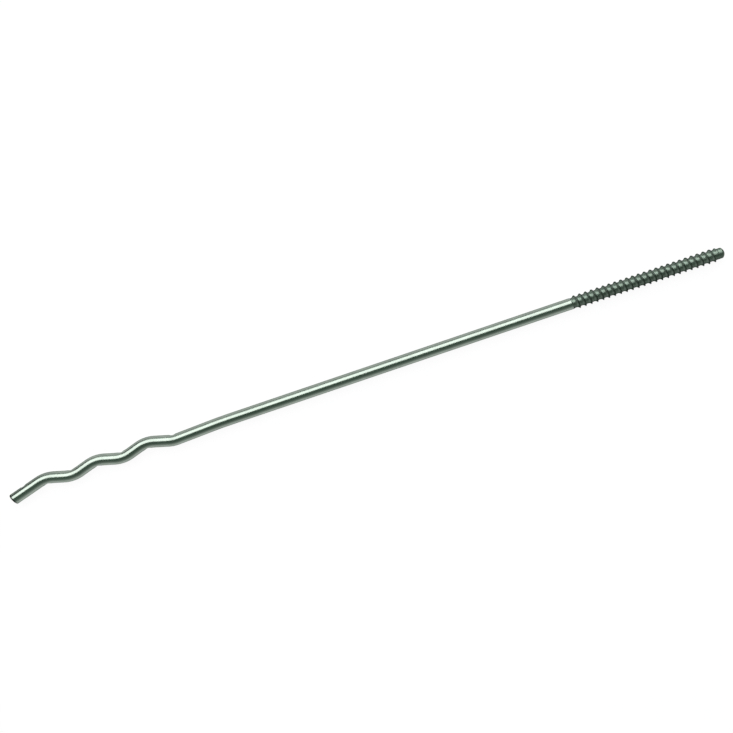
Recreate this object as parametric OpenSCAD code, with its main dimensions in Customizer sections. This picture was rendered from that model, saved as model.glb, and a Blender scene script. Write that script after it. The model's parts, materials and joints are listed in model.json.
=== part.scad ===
// Masonry wall tie: one round steel wire with a rolled screw thread at one end
// and a pressed zigzag at the other. The screw end goes into a plug in the inner
// leaf of a cavity wall, and the zigzag is bedded in a mortar joint of the outer leaf.
// Frame: the origin is on the wire's axis where the threaded end begins, +X runs along
// the thread to its tip, and the zigzag lies flat in the XY plane, +Z up.

/* [Wire] */
// Diameter of the drawn wire
wire_d = 4; // [3:0.1:5]
// Length over all, from the cut end to the tip of the thread
overall_length = 250; // [220:5:400]

/* [Zigzag] */
// Number of crests
wave_crests = 3; // [1:1:4]
// Distance from one crest to the next, along the tie
wave_pitch = 17.6; // [16:0.1:24]
// Slope of the flanks between two bends, in degrees
flank_angle = 16.3; // [10:0.1:18]
// Angle between the middle line of the zigzag and the shank, in degrees
wave_lean = 0.75; // [0:0.05:1.5]
// Radius of each bend at the middle of the wire
bend_radius = 10; // [6:0.5:11]
// Length of the shallow slope between the straight shank and the first trough
lead_in = 16.9; // [10:0.1:25]
// Depth of the first trough below the shank's axis
lead_dip = 0.67; // [0.2:0.01:1.2]
// Radius of the long bend where the shallow slope begins
lead_radius = 120; // [40:5:200]
// Length from the last crest to the cut end, along the tie
tail_length = 12.4; // [11:0.1:18]
// Slope of the tail, in degrees
tail_angle = 15.8; // [8:0.1:20]
// Nose radius of the pressing tool
nose_radius = 2; // [1:0.1:3]
// Depth of the mark that the nose leaves inside each bend
nose_mark = 0.3; // [0.1:0.05:0.5]
// Distance from the last crest to the mark on the tail, along the tie
tail_mark_at = 7.4; // [6:0.1:9]
// How far the shear cut leans from square, in degrees
shear_lean = 9; // [0:1:15]

/* [Thread] */
// Length of the threaded end, from the start of its run-out to the tip
threaded_length = 54; // [30:1:80]
// How far the full round of the shank reaches into the threaded end
shank_reach = 1; // [0.4:0.1:2]
// Length of the cone where the shank runs out into the core
runout_length = 0.6; // [0.3:0.1:1.2]
// Distance from the start of the threaded end to the start of the ridge
ridge_start = 0.8; // [0.5:0.1:2]
// How far the thread's crest stands above the wire
crest_height = 0.35; // [0.2:0.05:0.6]
// How deep the groove between the turns is rolled into the wire
groove_depth = 0.3; // [0.2:0.05:0.6]
// Advance of the thread in one turn
thread_pitch = 2.06; // [1.9:0.02:3]
// Angle between the two flanks of the thread, in degrees
thread_angle = 60; // [40:1:60]
// Width of the flat along the crest
crest_flat = 0.3; // [0.1:0.05:0.4]
// Length of the plain tip past the last turn
tip_length = 1.3; // [1:0.1:4]
// Chamfer at the tip
tip_chamfer = 0.45; // [0.2:0.05:0.8]
// Place on the circle where the ridge starts, in degrees from +Y
start_angle = 185; // [0:1:359]

/* [Hidden] */

$fn = 64;
wire_r = wire_d / 2;
core_r = wire_r - groove_depth;
half_pitch = wave_pitch / 2;
bend_count = 2 * wave_crests;

// The pressed end is a skin with flat sides that just clear the wire's round
skin_sides = 24;
skin_clearance = 0.01;
skin_r = (wire_r + skin_clearance) / cos(180 / skin_sides);
arc_steps = 12;

// Corners of the wire's middle line, from the thread to the cut end
cut_half = skin_r / cos(shear_lean);
end_x = threaded_length - overall_length + cut_half * sin(tail_angle + shear_lean);
first_x = end_x + tail_length + (bend_count - 1) * half_pitch;
step_up = half_pitch * tan(flank_angle - wave_lean);
step_down = half_pitch * tan(flank_angle + wave_lean);
function corner(k) =
    [first_x - k * half_pitch, -lead_dip + ceil(k / 2) * step_up - floor(k / 2) * step_down];
last_crest = corner(bend_count - 1);
function on_tail(x) = last_crest - x * [1, tan(tail_angle)];
line = concat(
    [[0, 0], [first_x + lead_in, 0]],
    [for (k = [0:bend_count - 1]) corner(k)],
    [on_tail(tail_length)]
);
last = len(line) - 1;

// Bends along the middle line
function ahead(h) = [cos(h), sin(h)];
function left(h) = [-sin(h), cos(h)];
function between(a, low, high) = a < low ? a + 360 : a > high ? a - 360 : a;
function heading(i) = atan2(line[i + 1].y - line[i].y, line[i + 1].x - line[i].x);
function turn(i) = between(heading(i) - heading(i - 1), -180, 180);
function radius(i) = i == 1 ? lead_radius : bend_radius;
function setback(i) = radius(i) * tan(abs(turn(i)) / 2);
shank_end = line[1].x + setback(1);

// How far the skin reaches from the middle line to the nose of the pressing tool
nose_reach = bend_radius - wire_r + nose_mark - nose_radius;
function nose_sag(d) = sqrt(pow(nose_radius, 2) - pow(d, 2));
function limit_at(d, centre) = abs(d) >= nose_radius ? skin_r : min(skin_r, centre - nose_sag(d));
function bend_limit(i, a) =
    i == 1 ? skin_r : limit_at(nose_reach * sin(a), bend_radius - nose_reach * cos(a));
function tail_limit(d) = limit_at(d, wire_r - nose_mark + nose_radius);

// Stations of the skin: a point, a heading, the limit on the left and the one on the right
function arc(i) = let(
    h = heading(i - 1),
    a = turn(i),
    r = sign(a) * radius(i),
    centre = line[i] - setback(i) * ahead(h) + r * left(h)
) [
    for (k = [0:arc_steps]) let(
        b = a * k / arc_steps,
        limit = bend_limit(i, b - a / 2)
    ) [centre - r * left(h + b), h + b, a > 0 ? limit : skin_r, a > 0 ? skin_r : limit]
];
mark_step = sqrt(2 * nose_radius * nose_mark) / 4;
stations = concat(
    [[[shank_end + 1, 0], 180, skin_r, skin_r]],
    [for (i = [1:last - 1]) each arc(i)],
    [for (k = [-5:5]) [
        on_tail(tail_mark_at) + k * mark_step * ahead(heading(last - 1)),
        heading(last - 1),
        skin_r,
        tail_limit(k * mark_step)
    ]],
    [[line[last], heading(last - 1), skin_r, skin_r]]
);

// Thread: one column of points for each step round the helix
steps = 30;
depth = crest_height + groove_depth;
flank_width = depth * tan(thread_angle / 2);
ridge_width = 2 * flank_width + crest_flat;
turns = (threaded_length - ridge_start - ridge_width - tip_length) / thread_pitch;
columns = floor(turns * steps);
fade_in = steps / 2;
fade_out = steps / 4;
core_start = -0.5;
core_step = 0.05;
function rise(j) = max(0, min(1, j / fade_in, (columns - j) / fade_out));
function round_x(j, x, r) = let(a = start_angle + 360 * j / steps) [x, r * cos(a), r * sin(a)];
function column(j) = let(
    x = ridge_start + thread_pitch * j / steps,
    top = core_r + depth * rise(j)
) [
    round_x(j, x, core_r),
    round_x(j, x + flank_width, top),
    round_x(j, x + flank_width + crest_flat, top),
    round_x(j, x + ridge_width, core_r)
];

// The zigzag with its tool marks and its shear cut, as one closed skin
module pressed_end() {
    final = len(stations) - 1;
    points = [for (k = [0:final]) for (j = [0:skin_sides - 1]) let(
        st = stations[k],
        round = skin_r * ahead(360 * j / skin_sides),
        across = max(-st[3], min(st[2], round.x)),
        slant = k == final ? -across * tan(shear_lean) : 0,
        spot = st[0] + across * left(st[1]) + slant * ahead(st[1])
    ) [spot.x, spot.y, round.y]];
    function at(k, j) = k * skin_sides + j % skin_sides;
    sides = [for (k = [0:final - 1]) for (j = [0:skin_sides - 1])
        each [[at(k, j), at(k + 1, j), at(k + 1, j + 1)], [at(k, j), at(k + 1, j + 1), at(k, j + 1)]]];
    ends = [[for (j = [0:skin_sides - 1]) at(0, j)], [for (j = [skin_sides - 1:-1:0]) at(final, j)]];
    polyhedron(points, concat(sides, ends));
}

// Core, thread and chamfered tip as one closed skin
module threaded_end() {
    skin = [for (j = [0:columns]) each column(j)];
    ring_x = [core_start, threaded_length - tip_chamfer, threaded_length];
    ring_r = [core_r, core_r, core_r - tip_chamfer];
    rings = [for (i = [0:2]) for (j = [0:steps - 1]) round_x(j, ring_x[i], ring_r[i])];
    function at(j, k) = 4 * j + k;
    function ring(i, j) = len(skin) + i * steps + j % steps;
    function quad(a, b, c, d) = [[a, b, c], [a, c, d]];
    ridge = [for (j = [0:columns - 1]) for (k = [0:2])
        each quad(at(j, k), at(j, k + 1), at(j + 1, k + 1), at(j + 1, k))];
    valley = [for (j = [0:columns - steps - 1])
        each quad(at(j, 3), at(j + steps, 0), at(j + steps + 1, 0), at(j + 1, 3))];
    lead_face = [for (j = [0:steps - 2])
        each quad(ring(0, j), at(j, 0), at(j + 1, 0), ring(0, j + 1))];
    lead_seam = [[ring(0, steps - 1), at(steps - 1, 0), at(steps, 0),
        at(0, 3), at(0, 2), at(0, 1), at(0, 0), ring(0, 0)]];
    tip_face = [for (j = [columns - steps + 1:columns - 1])
        each quad(at(j, 3), ring(1, j), ring(1, j + 1), at(j + 1, 3))];
    tip_seam = [[at(columns - steps + 1, 3), at(columns - steps, 3), at(columns, 0), at(columns, 1),
        at(columns, 2), at(columns, 3), ring(1, columns), ring(1, columns + 1)]];
    chamfer = [for (j = [0:steps - 1])
        each quad(ring(1, j), ring(2, j), ring(2, j + 1), ring(1, j + 1))];
    ends = [[for (j = [0:steps - 1]) ring(0, j)], [for (j = [steps - 1:-1:0]) ring(2, j)]];
    polyhedron(
        concat(skin, rings),
        concat(ridge, valley, lead_face, lead_seam, tip_face, tip_seam, chamfer, ends)
    );
}

module wall_tie() {
    color("silver") {
        pressed_end();
        translate([shank_end + 0.5, 0, 0])
            rotate([0, 90, 0]) cylinder(d = wire_d, h = shank_reach - shank_end - 0.5);
        translate([shank_reach, 0, 0])
            rotate([0, 90, 0]) cylinder(r1 = wire_r, r2 = core_r + core_step, h = runout_length);
        threaded_end();
    }
}

wall_tie();
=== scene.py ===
import json
import math

import bpy
import numpy as np
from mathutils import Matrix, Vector


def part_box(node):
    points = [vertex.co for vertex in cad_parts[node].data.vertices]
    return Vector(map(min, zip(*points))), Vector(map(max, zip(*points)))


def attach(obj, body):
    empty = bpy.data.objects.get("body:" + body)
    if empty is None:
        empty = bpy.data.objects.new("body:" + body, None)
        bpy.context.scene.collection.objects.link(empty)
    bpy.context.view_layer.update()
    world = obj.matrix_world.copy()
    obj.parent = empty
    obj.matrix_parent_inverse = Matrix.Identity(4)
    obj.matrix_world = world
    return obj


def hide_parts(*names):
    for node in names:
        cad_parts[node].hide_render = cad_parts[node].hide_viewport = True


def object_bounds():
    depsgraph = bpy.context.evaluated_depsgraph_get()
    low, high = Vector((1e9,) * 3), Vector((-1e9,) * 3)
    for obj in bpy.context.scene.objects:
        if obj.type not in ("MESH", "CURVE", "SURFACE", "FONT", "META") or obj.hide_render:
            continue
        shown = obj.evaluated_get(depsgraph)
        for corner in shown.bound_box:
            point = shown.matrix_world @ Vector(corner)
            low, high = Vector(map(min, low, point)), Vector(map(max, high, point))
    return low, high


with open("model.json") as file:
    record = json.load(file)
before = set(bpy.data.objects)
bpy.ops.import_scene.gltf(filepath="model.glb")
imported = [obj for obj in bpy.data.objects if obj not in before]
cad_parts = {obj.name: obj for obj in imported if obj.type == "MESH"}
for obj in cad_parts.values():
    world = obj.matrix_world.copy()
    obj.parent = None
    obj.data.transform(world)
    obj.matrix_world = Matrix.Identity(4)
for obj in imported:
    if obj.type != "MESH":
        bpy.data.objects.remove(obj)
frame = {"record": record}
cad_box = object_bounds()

# The wire's middle line
# The tie is one length of round steel wire. Its thread and shank lie in a straight line, and a press
# with two rows of noses set the zigzag into the other end, so that all the bends lie in one plane.
# Places in that plane are complex numbers in millimetres, followed from the tip to the cut end.
METRES = 0.001
mounts = {mount["name"]: mount["dims"] for mount in frame["record"]["mounts"]}
wire_r = mounts["zigzag_end"]["r_mm"]
crest_r = mounts["threaded_end"]["r_mm"]
tie_low, tie_high = (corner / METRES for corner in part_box("wall_tie"))
tip_x = tie_high.x
thread_x = tip_x - mounts["threaded_end"]["length_mm"]

crest_count = 3
half_pitch = 8.8
flank_angle = math.radians(16.3)
zigzag_lean = math.radians(0.75)
lead_in = 16.9
lead_dip = 0.67
lead_radius = 120
bend_radius = 10
tail_length = 12.4
tail_angle = math.radians(15.8)
shear_lean = math.radians(9)

cut_x = tie_low.x + wire_r / math.cos(shear_lean) * math.sin(tail_angle + shear_lean)
first_x = cut_x + tail_length + (2 * crest_count - 1) * half_pitch
step_up = half_pitch * math.tan(flank_angle - zigzag_lean)
step_down = half_pitch * math.tan(flank_angle + zigzag_lean)
corners = [complex(tip_x, 0), complex(first_x + lead_in, 0)]
for k in range(2 * crest_count):
    rise = math.ceil(k / 2) * step_up - (k // 2) * step_down
    corners.append(complex(first_x - k * half_pitch, rise - lead_dip))
last_crest = corners[-1]
tail_slope = complex(1, math.tan(tail_angle))
corners.append(last_crest - tail_length * tail_slope)


def direction(start, end):
    return (end - start) / abs(end - start)


# Marks of the pressing noses
# Each bend was pressed round a hard nose that bit a little way into the wire. It left a short hollow
# inside the bend, and one more on the tail, where a nose of the other row only held the wire down.
nose_radius = 2
nose_mark = 0.3
tail_mark_at = 7.4
nose_reach = bend_radius - wire_r + nose_mark - nose_radius
UNMARKED = 2 * wire_r


def nose_face(aside, centre):
    inside = np.sqrt(np.maximum(nose_radius**2 - aside**2, 0))
    return np.where(np.abs(aside) < nose_radius, centre - inside, UNMARKED)


# Stations along the wire: places, headings, and how far out the steel reaches on the left and right
def bend_stations(before, corner, after, radius, step, marked):
    ahead_in = direction(before, corner)
    turn = np.angle(direction(corner, after) / ahead_in)
    side = math.copysign(radius, turn)
    centre = corner - radius * math.tan(abs(turn) / 2) * ahead_in + side * 1j * ahead_in
    angles = np.linspace(0, turn, max(2, math.ceil(radius * abs(turn) / step)))
    ahead = ahead_in * np.exp(1j * angles)
    face = np.full(len(angles), UNMARKED)
    if marked:
        off = angles - turn / 2
        face = nose_face(nose_reach * np.sin(off), bend_radius - nose_reach * np.cos(off))
    clear = np.full(len(angles), UNMARKED)
    return centre - side * 1j * ahead, ahead, *((face, clear) if turn > 0 else (clear, face))


def run_stations(start, end, step):
    count = max(1, math.ceil(abs(end - start) / step))
    places = start + (end - start) * (np.arange(count) + 0.5) / count
    clear = np.full(count, UNMARKED)
    return places, np.full(count, direction(start, end)), clear, clear


thread_step = 0.09
shank_step = 2
bend_step = 0.22
run_step = 0.6
thread_margin = 2
thread_end = complex(thread_x - thread_margin, 0)
stretches = [run_stations(corners[0], thread_end, thread_step)]
reached = thread_end
for i in range(1, len(corners) - 1):
    step = bend_step if i > 1 else shank_step
    radius = bend_radius if i > 1 else lead_radius
    bend = bend_stations(*corners[i - 1:i + 2], radius, step, marked=i > 1)
    stretches += [run_stations(reached, bend[0][0], run_step if i > 1 else shank_step), bend]
    reached = bend[0][-1]

# The stations crowd together towards the cut, where the edge is rolled over
to_cut = np.array([1.5, 1.2, 0.9, 0.7, 0.5, 0.35, 0.24, 0.16, 0.1, 0.05, 0.02, 0])
cut_zone = to_cut[0]
tail_ahead = direction(last_crest, corners[-1])
cut_zone_start = corners[-1] - cut_zone * tail_ahead
tail_places, tail_aheads, tail_clear, _ = run_stations(reached, cut_zone_start, bend_step)
from_mark = np.real((tail_places - last_crest + tail_mark_at * tail_slope) * np.conj(tail_ahead))
tail_face = nose_face(from_mark, wire_r - nose_mark + nose_radius)
stretches.append((tail_places, tail_aheads, tail_clear, tail_face))
clear = np.full(len(to_cut), UNMARKED)
stretches.append((corners[-1] - to_cut * tail_ahead, np.full(len(to_cut), tail_ahead), clear, clear))
place, ahead, left_face, right_face = (np.concatenate(column)[:, None] for column in zip(*stretches))
along = np.concatenate([[0], np.cumsum(np.abs(np.diff(place[:, 0])))])[:, None]

# The rolled thread
# A coarse right-hand thread for a wall plug, rolled cold between two dies. The dies sink a groove into
# the wire and raise its metal into a narrow ridge, hollow and gentler on its flank towards the shank.
# The ridge grows out of the run-out in its first turn and sinks away before the rounded tip.
drawing_loss = 0.05
drawn_r = wire_r - drawing_loss
core_r = 1.77
thread_pitch = 2.055
ridge_flat = 0.16
flank_to_shank = 0.9
flank_to_tip = 0.32
first_crest = 2.02
growing_turns = 0.75
shank_reach = 0.52
run_out = 0.4
run_out_lean = 0.22
tip_length = 2.1
tip_dome = 0.28
tip_blend = 0.2
sides = 72
FULL_TURN = 2 * math.pi
around = np.radians(np.arange(sides) * 360 / sides)[None, :]
from_far_side = math.pi - around


def soft_min(a, b, blend):
    share = np.clip(0.5 + 0.5 * (b - a) / blend, 0, 1)
    return b + (a - b) * share - blend * share * (1 - share)


def smooth(t):
    t = np.clip(t, 0, 1)
    return t * t * (3 - 2 * t)


x = np.real(place)
turns = (x - thread_x - first_crest) / thread_pitch - from_far_side / FULL_TURN
past_crest = (turns - np.round(turns)) * thread_pitch
flank = np.where(past_crest < 0, flank_to_shank, flank_to_tip)
climb = np.clip((ridge_flat / 2 + flank - np.abs(past_crest)) / flank, 0, 1)
ridge = np.where(past_crest < 0, climb**2, (climb + smooth(climb)) / 2)
first_turn = smooth((np.round(turns) + from_far_side / FULL_TURN + growing_turns) / growing_turns)
last_turn = smooth((tip_x - tip_length - x) / (thread_pitch / 2))
groove = smooth((x - thread_x - shank_reach + run_out_lean * np.cos(from_far_side)) / run_out)
thread_r = drawn_r - (drawn_r - core_r) * groove
thread_r = thread_r + (crest_r - thread_r) * ridge * first_turn * last_turn * groove
thread_r = soft_min(thread_r, np.sqrt(np.maximum(tip_x - x, 0) / tip_dome), tip_blend)
on_thread = x > thread_x - thread_margin
radius = np.where(on_thread, thread_r, drawn_r)

# The skin of the wire
# The shank and zigzag keep the drawn wire's round section, apart from the nose marks. The shears
# cropped the tail at a slight lean and rolled its edge over. Both ends are closed by a plain face.
edge_round = 0.35
mark_edge = 0.12
face_rings = (0.85, 0.6, 0.3)
edge = np.minimum(to_cut, edge_round)
cut_r = drawn_r - edge_round + np.sqrt(edge_round**2 - (edge_round - edge) ** 2)
radius[-len(to_cut):] = cut_r[:, None]
across = radius * np.cos(around)
up = radius * np.sin(around)
across = soft_min(across, left_face, mark_edge)
across = -soft_min(-across, right_face, mark_edge)
lean = np.zeros_like(place, dtype=float)
lean[-len(to_cut):, 0] = 1 - to_cut / cut_zone
ring = place + (across * 1j - lean * math.tan(shear_lean) * across) * ahead
skin = np.stack([ring.real, ring.imag, up], axis=-1)
straightened = np.stack(np.broadcast_arrays(along, across, up), axis=-1)


def with_end_faces(rows):
    tip_centre, cut_centre = rows[0].mean(axis=0), rows[-1].mean(axis=0)
    tip_face = [tip_centre + share * (rows[0] - tip_centre) for share in reversed(face_rings)]
    cut_face = [cut_centre + share * (rows[-1] - cut_centre) for share in face_rings]
    rings = np.concatenate([tip_face, rows, cut_face])
    return np.concatenate([rings.reshape(-1, 3), [tip_centre, cut_centre]])


points = with_end_faces(skin)
ring_count = len(skin) + 2 * len(face_rings)
row, column = np.meshgrid(np.arange(ring_count - 1), np.arange(sides), indexing="ij")
beside = (column + 1) % sides
quads = np.stack(
    [row * sides + column, row * sides + beside, (row + 1) * sides + beside, (row + 1) * sides + column],
    axis=-1,
).reshape(-1, 4)
tip_point = ring_count * sides
cut_point = tip_point + 1
last_row = (ring_count - 1) * sides
faces = quads.tolist()
faces += [[tip_point, (j + 1) % sides, j] for j in range(sides)]
faces += [[cut_point, last_row + j, last_row + (j + 1) % sides] for j in range(sides)]
wire_mesh = bpy.data.meshes.new("tie_wire")
wire_mesh.from_pydata(points * METRES, [], faces)
wire_mesh.polygons.foreach_set("use_smooth", [True] * len(faces))
wire_mesh.set_sharp_from_angle(angle=math.radians(50))
wire = bpy.data.objects.new("tie_wire", wire_mesh)
bpy.context.collection.objects.link(wire)

# Traces of the work on the wire, and painted shade
# The dies leave a duller skin on the thread and oil in its run-out. Painted shade darkens the thread's
# ridges and its near side. The tail is darker on its far side, and the rolled edge at the cut is dark grey.
# Each trace is a strength at every point of the mesh, and is full at 1.
crest_painted_shade = 0.8
run_out_oil = 0.9
near_side_painted_shade = 0.52
tail_far_side_dark = 0.5
tail_dark_reach = 19
tail_dark_fade = 14
lip_width = 0.7
lip_fade = 0.3


def fade_in(value, start, length):
    return smooth((value - start) / length)


# Painted shade along the ridge tops and their flanks towards the shank
on_crest = fade_in(ridge, start=0.44, length=0.4) * (1 - fade_in(past_crest, start=0.05, length=0.2))
on_run_out = 4 * groove * (1 - groove)
# Painted shade darkens the thread's near side
on_near_side = groove * fade_in(np.cos(around), start=0.4, length=0.4)
# Painted shade on the ridges and the near side, and oil in the run-out
thread_oil_and_painted_shade = crest_painted_shade * groove * last_turn * on_crest + run_out_oil * on_run_out + near_side_painted_shade * on_near_side
# The far side of the tail is coloured darker towards the cut
on_far_side = fade_in(-across / drawn_r, start=0.3, length=0.3)
on_tail = fade_in(along, along[-1] - tail_dark_reach, tail_dark_fade)
tail_dark = tail_far_side_dark * on_tail * on_far_side
oil_and_painted_shade = np.where(on_thread, thread_oil_and_painted_shade, tail_dark)
rolled = np.where(on_thread, groove, 0)
# The rolled edge at the cut is coloured dark grey
dark_lip = np.zeros_like(oil_and_painted_shade)
dark_lip[-len(to_cut):] = smooth((lip_width - to_cut) / lip_fade)[:, None]
for name, values, at_tip, at_cut in (("rolled", rolled, 1, 0), ("oil_and_painted_shade", oil_and_painted_shade, 0, 0), ("dark_lip", dark_lip, 0, 1)):
    tip_face, cut_face = (np.full(len(face_rings) * sides, value) for value in (at_tip, at_cut))
    attribute = wire_mesh.attributes.new(name, "FLOAT", "POINT")
    on_points = np.concatenate([tip_face, values.ravel(), cut_face, [at_tip, at_cut]])
    attribute.data.foreach_set("value", on_points)
attribute = wire_mesh.attributes.new("straightened", "FLOAT_VECTOR", "POINT")
attribute.data.foreach_set("vector", with_end_faces(straightened).ravel())


# Bright drawn stainless steel
# Drawing leaves fine lines along the wire and a bright skin with soft-edged reflections of a faintly
# green grey. The rolled thread is duller and darker, painted shade darkens its ridges and its near side,
# and oil its run-out. The tail is darker on its far side, and the cropped lip is dark grey. The lines and
# blotches follow the wire as if it were straight.
def linear(hex_code):
    parts = [int(hex_code[i:i + 2], 16) / 255 for i in (1, 3, 5)]
    return [p / 12.92 if p <= 0.04045 else ((p + 0.055) / 1.055) ** 2.4 for p in parts] + [1]


# A colour Mix node takes its factor and its two colours by their numbers, 0, 6 and 7, and gives output 2
def add_node(tree, kind, settings=None, inputs=None):
    node = tree.nodes.new(kind)
    for name, value in (settings or {}).items():
        setattr(node, name, value)
    for name, value in (inputs or {}).items():
        if isinstance(value, bpy.types.NodeSocket):
            tree.links.new(value, node.inputs[name])
        else:
            node.inputs[name].default_value = value
    return node


# Real drawing lines are about 0.05 mm wide, and these are as coarse as they need to be to show
line_width = 0.3
line_length = 40
line_depth = 0.02
blotch_size = 4
thread_roughness = 0.38
steel = bpy.data.materials.new("bright_drawn_stainless_steel")
steel.use_nodes = True
tree = steel.node_tree
shader = tree.nodes["Principled BSDF"]
on_wire = add_node(tree, "ShaderNodeAttribute", {"attribute_name": "straightened"})
on_rolled = add_node(tree, "ShaderNodeAttribute", {"attribute_name": "rolled"})
on_oil_and_painted_shade = add_node(tree, "ShaderNodeAttribute", {"attribute_name": "oil_and_painted_shade"})
on_dark_lip = add_node(tree, "ShaderNodeAttribute", {"attribute_name": "dark_lip"})
line_place = add_node(tree, "ShaderNodeMapping", {}, {
    "Vector": on_wire.outputs["Vector"],
    "Scale": (1 / line_length, 1 / line_width, 1 / line_width),
})
lines = add_node(tree, "ShaderNodeTexNoise", {}, {
    "Vector": line_place.outputs["Vector"],
    "Scale": 1.0,
    "Detail": 3.0,
    "Roughness": 0.6,
})
blotches = add_node(tree, "ShaderNodeTexNoise", {}, {
    "Vector": on_wire.outputs["Vector"],
    "Scale": 1 / blotch_size,
    "Detail": 4.0,
    "Roughness": 0.6,
})
clean_colour = add_node(tree, "ShaderNodeMix", {"data_type": "RGBA"}, {
    0: on_rolled.outputs["Fac"],
    6: linear("#9AA39B"),
    7: linear("#707D73"),
})
# Oil and painted shade darken the colour
oiled_and_shaded_colour = add_node(tree, "ShaderNodeMix", {"data_type": "RGBA"}, {
    0: on_oil_and_painted_shade.outputs["Fac"],
    6: clean_colour.outputs[2],
    7: linear("#3E4842"),
})
blotch_shade = add_node(tree, "ShaderNodeMapRange", {}, {
    "Value": blotches.outputs["Fac"],
    "From Min": 0.3,
    "From Max": 0.7,
    "To Min": 0.9,
    "To Max": 1.06,
})
blotched_colour = add_node(tree, "ShaderNodeVectorMath", {"operation": "SCALE"}, {
    "Vector": oiled_and_shaded_colour.outputs[2],
    "Scale": blotch_shade.outputs["Result"],
})
# The rolled edge at the cut is dark grey
colour = add_node(tree, "ShaderNodeMix", {"data_type": "RGBA"}, {
    0: on_dark_lip.outputs["Fac"],
    6: blotched_colour.outputs["Vector"],
    7: linear("#464B47"),
})
drawn_roughness = add_node(tree, "ShaderNodeMapRange", {}, {
    "Value": lines.outputs["Fac"],
    "From Min": 0.3,
    "From Max": 0.7,
    "To Min": 0.18,
    "To Max": 0.28,
})
roughness = add_node(tree, "ShaderNodeMix", {"data_type": "FLOAT"}, {
    "Factor": on_rolled.outputs["Fac"],
    "A": drawn_roughness.outputs["Result"],
    "B": thread_roughness,
})
bump = add_node(tree, "ShaderNodeBump", {}, {
    "Height": lines.outputs["Fac"],
    "Strength": 0.25,
    "Distance": line_depth * METRES,
})
edge_tint = add_node(tree, "ShaderNodeMix", {"data_type": "RGBA"}, {
    0: on_rolled.outputs["Fac"],
    6: linear("#A8B0A9"),
    7: linear("#454C46"),
})
tree.links.new(colour.outputs[2], shader.inputs["Base Color"])
tree.links.new(roughness.outputs["Result"], shader.inputs["Roughness"])
tree.links.new(bump.outputs["Normal"], shader.inputs["Normal"])
tree.links.new(edge_tint.outputs[2], shader.inputs["Specular Tint"])
shader.inputs["Metallic"].default_value = 1.0
wire_mesh.materials.append(steel)

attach(wire, "root")
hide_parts("wall_tie")

# The floor
# A sheet of matt white paper that the tie lies on, resting on its thread's crests. It shows white to
# the camera and in the metal, and keeps the tie's faint shadow.
floor_half = 4
floor_glow = 0.935
floor_z = cad_box[0].z
floor_corners = [(a * floor_half, b * floor_half, floor_z) for a, b in ((-1, -1), (1, -1), (1, 1), (-1, 1))]
floor_mesh = bpy.data.meshes.new("paper_floor")
floor_mesh.from_pydata(floor_corners, [], [(0, 1, 2, 3)])
floor = bpy.data.objects.new("paper_floor", floor_mesh)
bpy.context.collection.objects.link(floor)
paper = bpy.data.materials.new("matt_white_paper")
paper.use_nodes = True
tree = paper.node_tree
shader = tree.nodes["Principled BSDF"]
rays = add_node(tree, "ShaderNodeLightPath")
in_view_or_metal = add_node(tree, "ShaderNodeMath", {"operation": "MAXIMUM"}, {
    0: rays.outputs["Is Camera Ray"],
    1: rays.outputs["Is Glossy Ray"],
})
shown = add_node(tree, "ShaderNodeMath", {"operation": "MAXIMUM"}, {
    0: in_view_or_metal.outputs["Value"],
    1: rays.outputs["Is Transmission Ray"],
})
glow = add_node(tree, "ShaderNodeMath", {"operation": "MULTIPLY"}, {
    0: shown.outputs["Value"],
    1: floor_glow,
})
tree.links.new(glow.outputs["Value"], shader.inputs["Emission Strength"])
shader.inputs["Emission Color"].default_value = linear("#FFFFFF")
shader.inputs["Base Color"].default_value = linear("#505050")
shader.inputs["Roughness"].default_value = 0.9
shader.inputs["Specular IOR Level"].default_value = 0.0
floor_mesh.materials.append(paper)


# The softboxes
# A long softbox hangs over the far side of the wire and runs along it. It draws the white band along the
# wire's upper half. A small one stands low at the far right and lights the thread between its ridges.
def hang_softbox(name, size, place, aim, radiance):
    lamp_data = bpy.data.lights.new(name, "AREA")
    lamp_data.shape = "RECTANGLE"
    lamp_data.size, lamp_data.size_y = size
    lamp_data.energy = radiance * math.pi * size[0] * size[1]
    lamp = bpy.data.objects.new(name, lamp_data)
    lamp.location = place
    lamp.rotation_euler = (Vector(aim) - Vector(place)).to_track_quat("-Z", "Y").to_euler()
    bpy.context.collection.objects.link(lamp)


long_x = -0.27
long_far = 0.9
long_tilt = math.radians(33)
long_place = (long_x, math.sin(long_tilt) * long_far, math.cos(long_tilt) * long_far)
hang_softbox("long_softbox", (1.4, 0.84), long_place, aim=(long_x, 0, 0), radiance=2.7)
hang_softbox("side_softbox", (0.5, 0.4), (0.56, 0.76, 0.42), aim=(0, 0, 0), radiance=5.0)

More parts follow.
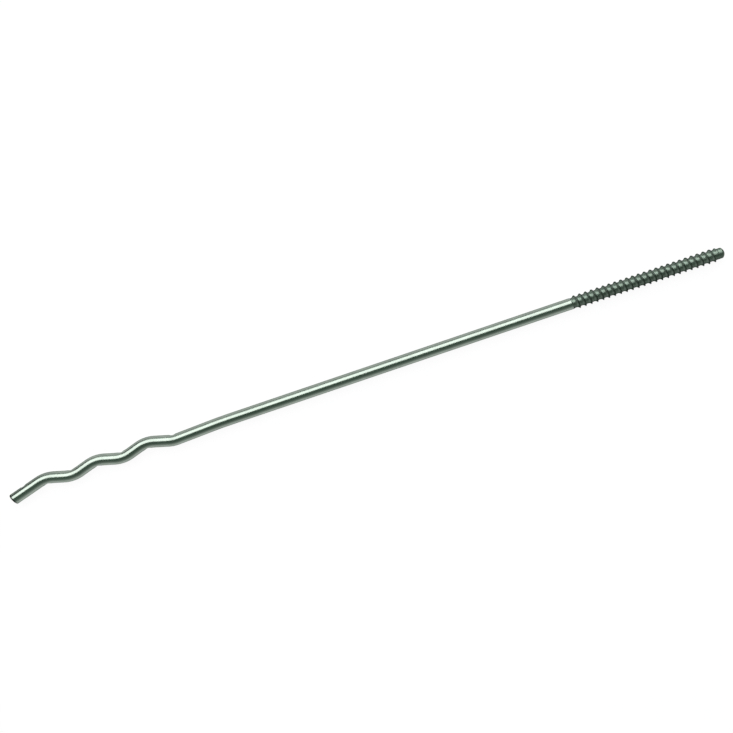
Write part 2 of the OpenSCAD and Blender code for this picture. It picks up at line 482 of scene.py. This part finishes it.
# The room
# Pale walls and a dim ceiling, which draws the dark band along the wire's lower half. A dark doorway at
# the far left shades the upper edge of the flanks that face it.
world = bpy.data.worlds.new("studio_room")
world.use_nodes = True
bpy.context.scene.world = world
tree = world.node_tree
toward = add_node(tree, "ShaderNodeTexCoord")
height = add_node(tree, "ShaderNodeSeparateXYZ", {}, {"Vector": toward.outputs["Generated"]})
walls = add_node(tree, "ShaderNodeValToRGB", {}, {"Fac": height.outputs["Z"]})
stops = ((0.0, "#D6DAD6"), (0.33, "#B4BDB6"), (0.5, "#8F9A92"), (0.85, "#5A6F61"), (1.0, "#566A5C"))
walls.color_ramp.elements.remove(walls.color_ramp.elements[1])
for k, (position, shade) in enumerate(stops):
    stop = walls.color_ramp.elements[0] if k == 0 else walls.color_ramp.elements.new(position)
    stop.position = position
    stop.color = linear(shade)
doorway_angle = math.radians(128)
doorway_core = math.radians(12)
doorway_reach = math.radians(26)
from_doorway = add_node(tree, "ShaderNodeVectorMath", {"operation": "DOT_PRODUCT"}, {
    0: toward.outputs["Generated"],
    1: (math.cos(doorway_angle), math.sin(doorway_angle), 0),
})
doorway = add_node(tree, "ShaderNodeMapRange", {"interpolation_type": "SMOOTHSTEP"}, {
    "Value": from_doorway.outputs["Value"],
    "From Min": math.cos(doorway_reach),
    "From Max": math.cos(doorway_core),
})
room = add_node(tree, "ShaderNodeMix", {"data_type": "RGBA"}, {
    0: doorway.outputs["Result"],
    6: walls.outputs["Color"],
    7: linear("#141816"),
})
tree.links.new(room.outputs[2], tree.nodes["Background"].inputs["Color"])

# The camera
# It looks straight down on the lying tie from close by, turned so that the wire climbs to the right.
picture_tilt = math.radians(18.712)
picture_width = 733
pixels_per_mm = 3.02
centre_x, centre_y = -70.29, 2.02
camera_height = 400
camera_data = bpy.data.cameras.new("camera")
camera_data.lens = camera_data.sensor_width * camera_height * pixels_per_mm / picture_width
camera = bpy.data.objects.new("camera", camera_data)
camera.location = (centre_x * METRES, centre_y * METRES, camera_height * METRES)
camera.rotation_euler = (0, 0, -picture_tilt)
bpy.context.collection.objects.link(camera)
bpy.context.scene.camera = camera
bpy.context.scene.view_settings.view_transform = "Standard"
